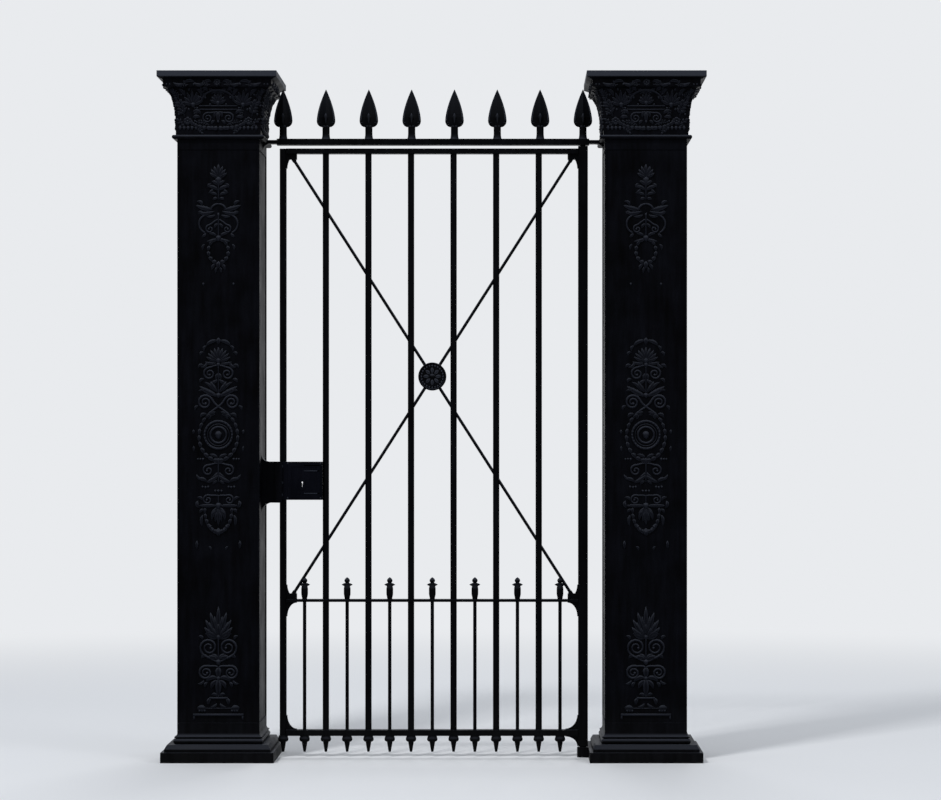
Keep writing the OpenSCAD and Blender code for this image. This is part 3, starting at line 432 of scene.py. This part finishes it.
def bell_filling():
    """The small growth that fills the ground between the bell's larger ornaments."""
    made = [leaf((x, 2841), 90, 17, 12, 0, 7, 0, ROUND) for x in np.linspace(-171, 171, 20)]
    for side in (-1, 1):
        made += sprig((side * 70, 2968), 90 - side * 4, 52, 3, 13, side * 0.12, 8)
        made += sprig((side * 28, 3004), 90 + side * 66, 30, 2, 11, 0, 7)
        made += sprig((side * 172, 2975), 90 - side * 32, 46, 3, 14, 0, 8)
        made += sprig((side * 150, 2952), 90 - side * 58, 34, 2, 13, 0, 8)
        made += sprig((side * 104, 2944), 90 + side * 178, 44, 3, 11, 0, 7)
        made += sprig((side * 40, 2864), 90 - side * 76, 54, 4, 11, side * 0.1, 7)
        made += sprig((side * 176, 2858), 90 + side * 60, 40, 2, 13, 0, 7)
        made += [berry((side * across, up), 5.5, 8) for across, up in (
            (118, 2868), (104, 2882), (94, 2940), (132, 2934), (160, 2926), (88, 2990), (128, 3020),
            (200, 3012), (56, 2986), (36, 2956), (190, 2950), (164, 2998), (22, 2984), (176, 2912))]
        made += sprig((side * 30, 3040), 90 - side * 84, 40, 3, 9, 0, 7)
        made += sprig((side * 128, 3040), 90 - side * 96, 40, 3, 9, 0, 7)
        made += [berry((side * across, 3041), 4.5, 7) for across in (84, 178, 212, 226)]
    return made


def stroke_surface(path, half_width, height, profile, closed):
    """Carries a profile along a path. Returns (across, up, out, rise) points and four-cornered faces.

    Each station lies square to the path: its points are the path's point plus the sideways direction times
    the profile's first number and the half width, and they stand out by its second number times the height.
    The rise tells the paint how far up the profile a point is, from 0 at its foot to 1 at its crest. An open
    stroke is closed at each end by two faces between the profile's six corners.
    """
    if closed:
        along = np.roll(path, -1, 0) - np.roll(path, 1, 0)
    else:
        along = np.gradient(path, axis=0)
    along = along / np.linalg.norm(along, axis=1, keepdims=True)
    sideways = np.column_stack((-along[:, 1], along[:, 0]))
    stations, sides = len(path), len(profile)
    wide = np.broadcast_to(half_width, stations)[:, None] * profile[:, 0]
    out = np.broadcast_to(height, stations)[:, None] * profile[:, 1]
    points = np.empty((stations, sides, 4))
    points[..., :2] = path[:, None, :] + wide[..., None] * sideways[:, None, :]
    points[..., 2] = out
    points[..., 3] = profile[:, 1].clip(0, 1)
    rows = np.arange(stations if closed else stations - 1)[:, None]
    near, far = rows * sides, (rows + 1) % stations * sides
    j = np.arange(sides)
    k = (j + 1) % sides
    faces = np.stack((near + j, near + k, far + k, far + j), axis=-1).reshape(-1, 4)
    if not closed:
        last = (stations - 1) * sides
        ends = np.array([(5, 2, 1, 0), (5, 4, 3, 2), (last, last + 1, last + 2, last + 5),
                         (last + 2, last + 3, last + 4, last + 5)])
        faces = np.vstack((faces, ends))
    return points.reshape(-1, 4), faces


def joined(surfaces):
    """Several (points, faces) pairs as one."""
    starts = np.cumsum([0] + [len(points) for points, _ in surfaces[:-1]])
    return (np.vstack([points for points, _ in surfaces]),
            np.vstack([faces + start for (_, faces), start in zip(surfaces, starts)]))


def turned(points, quarter):
    """Points turned about the upright axis through 0 by quarters of a turn, anticlockwise from above."""
    c, s = ((1, 0), (0, 1), (-1, 0), (0, -1))[quarter % 4]
    x, y, z, rise = points.T
    return np.column_stack((c * x - s * y, s * x + c * y, z, rise))


def fronted(points, out):
    """Points (across, up, out, rise) as (x, y, z, rise) on a face that looks along -y at a distance out."""
    across, up, over, rise = points.T
    return np.column_stack((across, -(out + over), up, rise))


def piece(name, points, faces, body, slot, material, smooth=True):
    """A mesh in metres from points in millimetres with their rise, and four-cornered faces, on a body."""
    mesh = bpy.data.meshes.new(name)
    mesh.vertices.add(len(points))
    mesh.vertices.foreach_set("co", (points[:, :3] * MM).astype(np.float32).ravel())
    mesh.loops.add(faces.size)
    mesh.loops.foreach_set("vertex_index", faces.astype(np.int32).ravel())
    mesh.polygons.add(len(faces))
    mesh.polygons.foreach_set("loop_start", np.arange(0, faces.size, 4, dtype=np.int32))
    mesh.update(calc_edges=True)
    mesh.validate()
    mesh.attributes.new("rise", "FLOAT", "POINT").data.foreach_set("value", points[:, 3].astype(np.float32))
    if smooth:
        mesh.shade_smooth()
    else:
        mesh.shade_flat()
    mesh.materials.append(material)
    obj = bpy.data.objects.new(name, mesh)
    bpy.context.scene.collection.objects.link(obj)
    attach(obj, body)
    return obj


def shaft_out(up):
    """How far the sunk floor of a shaft's side lies from the pier's middle, which is 0 on the hinge pier."""
    return np.full_like(up, corner("hinge_shaft", 1)[0] - SUNK)


def bell_out(up):
    """How far the bell's side lies from the pier's middle, and above it the cap's upright face.

    The bell is upright at its foot and then a hollow quarter oval.
    """
    foot, top = corner("hinge_bell", 0), corner("hinge_bell", 1)
    neck = corner("hinge_shaft", 1)[0] + NECK_OUT
    share = ((up - foot[2] - BELL_FOOT) / (top[2] - foot[2] - BELL_FOOT)).clip(0, 1)
    curve = top[0] - (top[0] - neck) * np.sqrt(1 - share ** 2)
    return np.where(up > top[2], top[0] + FASCIA_OUT, curve)


def pier_relief(pier, motif, strokes, face_out, quarters):
    """One motif on some of a pier's sides, as quarters of a turn from the front, anticlockwise from above.

    face_out gives a side's distance from the pier's middle at each height.
    """
    middle = (corner(pier + "_shaft", 0) + corner(pier + "_shaft", 1)) / 2
    points, faces = joined([stroke_surface(*stroke) for stroke in strokes])
    front = fronted(points, face_out(points[:, 1]))
    made = [(turned(front, quarter) + (middle[0], 0, 0, 0), faces) for quarter in quarters]
    return piece(pier + "_" + motif, *joined(made), "gateway", "painted_cast_iron", cast_iron)


def shaft_casting(pier):
    """A pier's hollow shaft with a plain sunk panel on each side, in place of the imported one.

    Each side is a frame of four faces round the panel, four short walls and the panel's floor, and behind it
    the bore's wall and the rims that join the two at foot and head. The light on the sides towards the
    gateway runs unbroken from foot to head, so relief is laid on the front and the back only.
    """
    low, high = corner(pier + "_shaft", 0), corner(pier + "_shaft", 1)
    half, inner = (high[0] - low[0]) / 2, (high[0] - low[0]) / 2 - WALL
    wide = half - BORDER
    outline = [(-1, 0), (1, 0), (1, 1), (-1, 1)]
    ends, panel_ends = (low[2], high[2]), (low[2] + MARGIN, high[2] - MARGIN)
    front = [(a * half, -half, ends[b], 0.0) for a, b in outline]
    front += [(a * wide, -half, panel_ends[b], 0.0) for a, b in outline]
    front += [(a * wide, -half + SUNK, panel_ends[b], 0.0) for a, b in outline]
    front = np.array(front)
    around = np.arange(4)
    on = (around + 1) % 4
    faces = np.vstack((np.stack((around, on, 4 + on, 4 + around), 1),
                       np.stack((4 + around, 4 + on, 8 + on, 8 + around), 1), [(8, 9, 10, 11)]))
    bore = np.array([(-inner, -inner, low[2], 0), (inner, -inner, low[2], 0),
                     (inner, -inner, high[2], 0), (-inner, -inner, high[2], 0),
                     (-half, -half, low[2], 0), (half, -half, low[2], 0),
                     (half, -half, high[2], 0), (-half, -half, high[2], 0)])
    bore_faces = np.array([(3, 2, 1, 0), (0, 1, 5, 4), (7, 6, 2, 3)])
    sides = [(turned(front, quarter), faces) for quarter in range(4)]
    sides += [(turned(bore, quarter), bore_faces) for quarter in range(4)]
    points, faces = joined(sides)
    obj = piece(pier + "_shaft_casting", points + ((low[0] + high[0]) / 2, 0, 0, 0), faces, "gateway",
                "painted_cast_iron", cast_iron, smooth=False)
    welded = bmesh.new()
    welded.from_mesh(obj.data)
    bmesh.ops.remove_doubles(welded, verts=welded.verts, dist=0.01 * MM)
    bmesh.ops.recalc_face_normals(welded, faces=welded.faces)
    welded.to_mesh(obj.data)
    welded.free()
    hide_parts(pier + "_shaft")


# Materials

# How strongly the paint mirrors: chalked oil paint gives back about a thirtieth of what fresh gloss does
SHEEN = 0.016
# What lies on the paint: dust on ledges and faces that look up, which also stands in for painted sky light
# there, a lighter tone on the caps' slabs, rust in chips, and splashed dirt near the ground
DUST_AND_SKY_LIGHT = "#34373f"
RUST = "#1c1410"
SPLASH = "#1f1f1e"
# Height in metres at which a cap's slab begins, and the height that splashes reach
SLAB_FOOT = 3.073
SPLASH_TOP = 0.30


def linear(hex_colour):
    """An sRGB hex colour as linear red, green, blue and alpha."""
    parts = [int(hex_colour[i:i + 2], 16) / 255 for i in (1, 3, 5)]
    return tuple(c / 12.92 if c <= 0.04045 else ((c + 0.055) / 1.055) ** 2.4 for c in parts) + (1.0,)


def add(tree, kind, settings=(), **inputs):
    """Adds a node. settings are (name, value) pairs, and each input is a value or the socket that feeds it.

    An input goes by its label, with _ for a space, or by _ and its number where labels repeat.
    """
    node = tree.nodes.new(kind)
    for name, value in settings:
        setattr(node, name, value)
    for name, value in inputs.items():
        socket = node.inputs[int(name[1:])] if name[1:].isdigit() else node.inputs[name.replace("_", " ")]
        if isinstance(value, bpy.types.NodeSocket):
            tree.links.new(value, socket)
        else:
            socket.default_value = value
    return node


def painted_iron(name, dark, light, crest, roughness, grain_mm, grain_depth, wave_mm, wave_depth, rust):
    """Black oil paint on iron: brush-laid film over the iron's surface, dust, a little rust, painted
    highlights.

    The film's colour drifts between two near blacks, in upright streaks where rain runs down. The crests of
    the relief take a lighter colour, partly chalky worn paint and partly a painted highlight where light
    catches them. Faces that look up are lightened towards a dust colour, partly dust and partly painted sky
    light from above, and the caps' slabs are lightened towards it as well. Dirt lightens the paint near the
    ground. A larger rust gives more rusty chips. The bump is the iron's grain and the slower waves of casting
    or forging, each with a size and a depth in millimetres.
    """
    material = bpy.data.materials.new(name)
    material.use_nodes = True
    tree = material.node_tree
    tree.nodes.clear()
    place = add(tree, "ShaderNodeTexCoord").outputs["Object"]
    streaked = add(tree, "ShaderNodeMapping", Vector=place, Scale=(1, 1, 0.12))
    streaks = add(tree, "ShaderNodeTexNoise", Vector=streaked.outputs[0], Scale=38.0, Detail=5.0,
                  Roughness=0.62)
    patches = add(tree, "ShaderNodeTexNoise", Vector=place, Scale=5.5, Detail=4.0, Roughness=0.6)
    drift = add(tree, "ShaderNodeMath", [("operation", "MULTIPLY")], _0=streaks.outputs[0],
                _1=patches.outputs[0])
    tone = add(tree, "ShaderNodeValToRGB", Fac=drift.outputs[0])
    tone.color_ramp.elements[0].position = 0.12
    tone.color_ramp.elements[0].color = linear(dark)
    tone.color_ramp.elements[1].position = 0.42
    tone.color_ramp.elements[1].color = linear(light)
    specks = add(tree, "ShaderNodeTexNoise", Vector=place, Scale=85.0, Detail=6.0, Roughness=0.7)
    # Painted highlight in part: by their rise, the relief's crests take the crest colour, partly worn chalky
    # paint and partly light catching them
    rise = add(tree, "ShaderNodeAttribute", [("attribute_name", "rise")])
    crest_wear_and_highlight = add(tree, "ShaderNodeMapRange", Value=rise.outputs["Fac"], From_Min=0.45, From_Max=1.0)
    chalk_and_highlight = add(tree, "ShaderNodeMix", [("data_type", "RGBA")], Factor=crest_wear_and_highlight.outputs[0],
                  _6=tone.outputs[0], _7=linear(crest))
    # Painted sky light in part: faces that look up take the dust colour, partly dust and partly light falling
    # from above; the caps' slabs take it too
    facing = add(tree, "ShaderNodeSeparateXYZ", Vector=add(tree, "ShaderNodeNewGeometry").outputs["Normal"])
    upward_dust_and_sky_light = add(tree, "ShaderNodeMapRange", Value=facing.outputs["Z"], From_Min=0.03, From_Max=0.7,
                 To_Max=0.85)
    height = add(tree, "ShaderNodeSeparateXYZ", Vector=place)
    slab = add(tree, "ShaderNodeMapRange", Value=height.outputs["Z"], From_Min=SLAB_FOOT,
               From_Max=SLAB_FOOT + 0.006, To_Max=0.7)
    dust_and_sky_light_share = add(tree, "ShaderNodeMath", [("operation", "MAXIMUM")], _0=upward_dust_and_sky_light.outputs[0], _1=slab.outputs[0])
    dust_and_sky_lit = add(tree, "ShaderNodeMix", [("data_type", "RGBA")], Factor=dust_and_sky_light_share.outputs[0],
                _6=chalk_and_highlight.outputs[2], _7=linear(DUST_AND_SKY_LIGHT))
    worn = add(tree, "ShaderNodeMapRange", Value=specks.outputs[0], From_Min=0.70 - rust, From_Max=0.76)
    rusted = add(tree, "ShaderNodeMix", [("data_type", "RGBA")], Factor=worn.outputs[0], _6=dust_and_sky_lit.outputs[2],
                 _7=linear(RUST))
    splash = add(tree, "ShaderNodeMapRange", Value=height.outputs["Z"], From_Min=SPLASH_TOP,
                 From_Max=0.0, To_Max=0.4)
    dirty = add(tree, "ShaderNodeMath", [("operation", "MULTIPLY")], _0=splash.outputs[0],
                _1=streaks.outputs[0])
    soiled = add(tree, "ShaderNodeMix", [("data_type", "RGBA")], Factor=dirty.outputs[0],
                 _6=rusted.outputs[2], _7=linear(SPLASH))
    gloss = add(tree, "ShaderNodeMapRange", Value=patches.outputs[0], From_Min=0.3, From_Max=0.7,
                To_Min=roughness - 0.07, To_Max=roughness + 0.09)
    grain = add(tree, "ShaderNodeTexNoise", Vector=place, Scale=1000 / grain_mm, Detail=3.0, Roughness=0.55)
    waves = add(tree, "ShaderNodeTexNoise", Vector=place, Scale=1000 / wave_mm, Detail=2.0, Roughness=0.5)
    slow = add(tree, "ShaderNodeBump", Height=waves.outputs[0], Strength=1.0, Distance=wave_depth * MM)
    fine = add(tree, "ShaderNodeBump", Height=grain.outputs[0], Strength=1.0, Distance=grain_depth * MM,
               Normal=slow.outputs[0])
    shader = add(tree, "ShaderNodeBsdfPrincipled", Base_Color=soiled.outputs[2], Roughness=gloss.outputs[0],
                 Normal=fine.outputs[0], IOR=1.48)
    shader.inputs["Specular IOR Level"].default_value = SHEEN
    add(tree, "ShaderNodeOutputMaterial", Surface=shader.outputs[0])
    return material


def studio_floor(material_name, pale):
    """A matt pale floor that keeps the shadow near the gate and fades to the backdrop's own white far off."""
    material = bpy.data.materials.new(material_name)
    material.use_nodes = True
    tree = material.node_tree
    tree.nodes.clear()
    place = add(tree, "ShaderNodeTexCoord").outputs["Object"]
    far = add(tree, "ShaderNodeVectorMath", [("operation", "LENGTH")], _0=place)
    fade = add(tree, "ShaderNodeMapRange", [("interpolation_type", "SMOOTHSTEP")], Value=far.outputs["Value"],
               From_Min=3.0, From_Max=9.0)
    matt = add(tree, "ShaderNodeBsdfDiffuse", Color=linear(pale))
    plain = add(tree, "ShaderNodeEmission", Color=linear(pale), Strength=1.0)
    mix = add(tree, "ShaderNodeMixShader", _0=fade.outputs[0], _1=matt.outputs[0], _2=plain.outputs[0])
    add(tree, "ShaderNodeOutputMaterial", Surface=mix.outputs[0])
    return material


# Sand-cast iron under oil paint: a dull film on a fine sandy skin, bluish and lighter on the relief's crests,
# partly chalky paint and partly painted highlight
cast_iron = painted_iron("oil_painted_sand_cast_iron", "#020203", "#090a0f", "#181a21",
                         0.42, 2.2, 0.12, 30, 0.7, 0.02)
# Forged bar under oil paint: glossier and smoother, with the hammer's shallow waves
wrought_iron = painted_iron("oil_painted_forged_bar", "#030304", "#0a0b0e", "#30333b",
                            0.38, 3.5, 0.03, 17, 0.15, 0.03)
# Pressed plate under worn oil paint: the film is thin, and the crests of its rivets and bands and its faces
# that look up are lighter, partly dust and wear and partly painted highlight
lock_plate = painted_iron("worn_oil_paint_on_plate", "#030408", "#0b0c13", "#20232c",
                          0.42, 2.6, 0.12, 24, 0.5, 0.04)
finishes = {"painted_cast_iron": cast_iron, "painted_wrought_iron": wrought_iron,
            "painted_lock_iron": lock_plate}

for subpart in frame["record"]["subparts"]:
    node = frame["nodes"][subpart["node"]]
    node.data.materials.clear()
    node.data.materials.append(finishes[subpart["material_slot"]])

# The piers' shafts and their relief
for pier in ("hinge", "latch"):
    shaft_casting(pier)
    pier_relief(pier, "top_relief", top_motif(), shaft_out, (0, 2))
    pier_relief(pier, "middle_relief", middle_motif(), shaft_out, (0, 2))
    pier_relief(pier, "bottom_relief", bottom_motif(), shaft_out, (0, 2))
    pier_relief(pier, "bell_relief", bell_relief(), bell_out, (0, 1, 2, 3))


def both_ways(strokes, middle, out):
    """Strokes on the front and the back of a flat piece of the leaf, round a middle, at a distance out."""
    points, faces = joined([stroke_surface(*stroke) for stroke in strokes])
    front = fronted(points, out)
    return joined([(turned(front, quarter) + (middle[0], 0, middle[2], 0), faces) for quarter in (0, 2)])


def boss_rosette():
    """Petals on the boss's disc and beads in its groove, on both faces."""
    middle = (corner("centre_boss", 0) + corner("centre_boss", 1)) / 2
    out = corner("centre_boss", 1)[1] - BOSS_KNOB
    petals = [blade((14 * math.cos(a), 14 * math.sin(a)), (41 * math.cos(a), 41 * math.sin(a)), 13, 0, 4.5)
              for a in np.linspace(0, 2 * np.pi, 8, endpoint=False)]
    beads = [berry((BOSS_GROOVE * math.cos(a), BOSS_GROOVE * math.sin(a)), 4.6, 5.0)
             for a in np.linspace(0, 2 * np.pi, 24, endpoint=False)]
    return joined([both_ways(petals, middle, out), both_ways(beads, middle, out - BOSS_DISC)])


piece("boss_rosette", *boss_rosette(), "leaf", "painted_wrought_iron", wrought_iron)


# The spearheads: their number, the heights of stem and shoulder, and half the greatest width and thickness
SPEARS = 8
SPEAR_STEM = 54.5
SPEAR_SHOULDER = 29.0
SPEAR_HALF = 42.5
SPEAR_THICK = 18.5
# Shares of a blade's half width and half thickness: at the knee of its section, and where its border runs
KNEE_AT, KNEE_THICK = 0.42, 0.46
EDGE_AT, EDGE_THICK = 0.86, 0.11


def spear_trim():
    """Borders up both edges of each blade, two lines over its shoulder and a drop on its midrib, both sides.

    The blade's half width and half thickness fall by 0.98 u to the power 1.6, u running from the widest place
    to the point. Across a blade the thickness falls evenly from the midrib to the knee and from there to the
    edge. The lines over the shoulder lie on the same section.
    """
    low, high = corner("spearheads", 0), corner("spearheads", 1)
    stem_top = low[2] + SPEAR_STEM
    made = []
    u = np.linspace(0, 0.9, 14)
    taper = 1 - 0.98 * u ** 1.6
    up = stem_top + SPEAR_SHOULDER + (high[2] - stem_top - SPEAR_SHOULDER) * u
    for x in np.linspace(low[0] + SPEAR_HALF, high[0] - SPEAR_HALF, SPEARS):
        for side in (-1, 1):
            path = np.column_stack((x + side * EDGE_AT * SPEAR_HALF * taper, up))
            points, faces = stroke_surface(path, 2.4 * taper + 0.6, 2.6 * taper + 0.8, ROUND, False)
            face = np.interp(points[:, 1], up, SPEAR_THICK * taper) * EDGE_THICK
            made.append((fronted(points, face), faces))
        for lift, reach in ((13, 0.66), (22, 0.84)):
            across = np.linspace(-reach * SPEAR_HALF, reach * SPEAR_HALF, 13)
            path = np.column_stack((x + across, np.full(13, stem_top + lift)))
            points, faces = stroke_surface(path, 1.7, 1.8, ROUND, False)
            share = np.abs(points[:, 0] - x) / (reach * SPEAR_HALF)
            face = SPEAR_THICK * reach * np.interp(share, (0, KNEE_AT, 1), (1, KNEE_THICK, 0.05))
            made.append((fronted(points, face), faces))
        points, faces = stroke_surface(*blade((x, stem_top + 14), (x, stem_top + 62), 13, 0, 5, ROUND))
        drop = fronted(points, SPEAR_THICK - 2) * (1, 1, 1, 0.6)
        made.append((drop, faces))
    front = joined(made)
    middle = np.array([low[0] + high[0], 0, 0, 0])
    return joined([front, (turned(front[0], 2) + middle, front[1])])


piece("spear_trim", *spear_trim(), "gateway", "painted_wrought_iron", wrought_iron)


def lock_fasteners():
    """Domed rivets on the cover and the stile and three thin bands, placed from the cover's corners."""
    low, high = corner("lock_cover", 0), corner("lock_cover", 1)
    out = -(low[1] + COVER_BORDER)
    strokes = []
    for x in (low[0] + 38, high[0] - 8):
        strokes += [berry((x, z), 5, 6) for z in (low[2] + 8, high[2] - 8)]
    left_column = (low[2] + 22, (low[2] + high[2]) / 2 - 9, high[2] - 22)
    strokes += [berry((low[0] + 12, z), 6.5, 5) for z in left_column]
    strokes += [line((high[0] - 84, high[2] + down), (high[0] - 12, high[2] + down), 2.6, 3.5, FLAT)
                for down in (-17, -42, -145)]
    points, faces = joined([stroke_surface(*stroke) for stroke in strokes])
    return fronted(points, out - 0.5), faces


piece("lock_fasteners", *lock_fasteners(), "leaf", "painted_lock_iron", lock_plate)


# The studio: a pale floor, an even sky, a high lamp at the left and two softer ones

# The middle of the gateway, in metres, which the floor lies round and the lamps look at
AIM = (-0.96, 0, 1.5)


def studio():
    """Floor, world and lamps."""
    pale = "#e9ebee"
    bpy.ops.mesh.primitive_circle_add(vertices=96, radius=70, fill_type="NGON", location=(AIM[0], 0, 0))
    floor = bpy.context.object
    floor.name = "studio_floor"
    floor.data.materials.append(studio_floor("matt_pale_floor", pale))

    world = bpy.data.worlds.new("even_sky")
    bpy.context.scene.world = world
    world.use_nodes = True
    tree = world.node_tree
    tree.nodes.clear()
    rays = add(tree, "ShaderNodeLightPath")
    seen = add(tree, "ShaderNodeMath", [("operation", "MAXIMUM")], _0=rays.outputs["Is Camera Ray"],
               _1=rays.outputs["Is Glossy Ray"])
    shown = add(tree, "ShaderNodeMath", [("operation", "MAXIMUM")], _0=seen.outputs[0],
                _1=rays.outputs["Is Transmission Ray"])
    backdrop = add(tree, "ShaderNodeBackground", Color=linear(pale), Strength=1.0)
    soft = add(tree, "ShaderNodeBackground", Color=linear("#e6ebf2"), Strength=0.5)
    mix = add(tree, "ShaderNodeMixShader", _0=shown.outputs[0], _1=soft.outputs[0], _2=backdrop.outputs[0])
    add(tree, "ShaderNodeOutputWorld", Surface=mix.outputs[0])

    for name, place, size, power in (
            ("key", (-5.0, -7.0, 10.0), 1.6, 620),
            ("fill", (5.5, -6.0, 5.0), 3.0, 110),
            ("top", (-0.5, 6.0, 8.0), 3.0, 200)):
        lamp = bpy.data.lights.new(name, "AREA")
        lamp.shape = "SQUARE"
        lamp.size = size
        lamp.energy = power
        obj = bpy.data.objects.new(name, lamp)
        bpy.context.scene.collection.objects.link(obj)
        way = np.array(AIM) - np.array(place)
        obj.location = place
        obj.rotation_euler = (math.pi / 2 + math.atan2(way[2], math.hypot(way[0], way[1])), 0,
                              math.atan2(way[1], way[0]) - math.pi / 2)


def camera():
    """The photograph's view: level, near a person's eye height, with the frame shifted up and to the left."""
    lens = bpy.data.cameras.new("camera")
    lens.sensor_width = 36.0
    lens.lens = 107.5
    lens.shift_x = -0.0441
    lens.shift_y = 0.0425
    lens.clip_end = 300
    obj = bpy.data.objects.new("camera", lens)
    bpy.context.scene.collection.objects.link(obj)
    obj.location = (-0.603, -12.835, 1.4476)
    obj.rotation_euler = (math.pi / 2, 0, 0)
    bpy.context.scene.camera = obj


studio()
camera()
bpy.context.scene.view_settings.view_transform = "Standard"
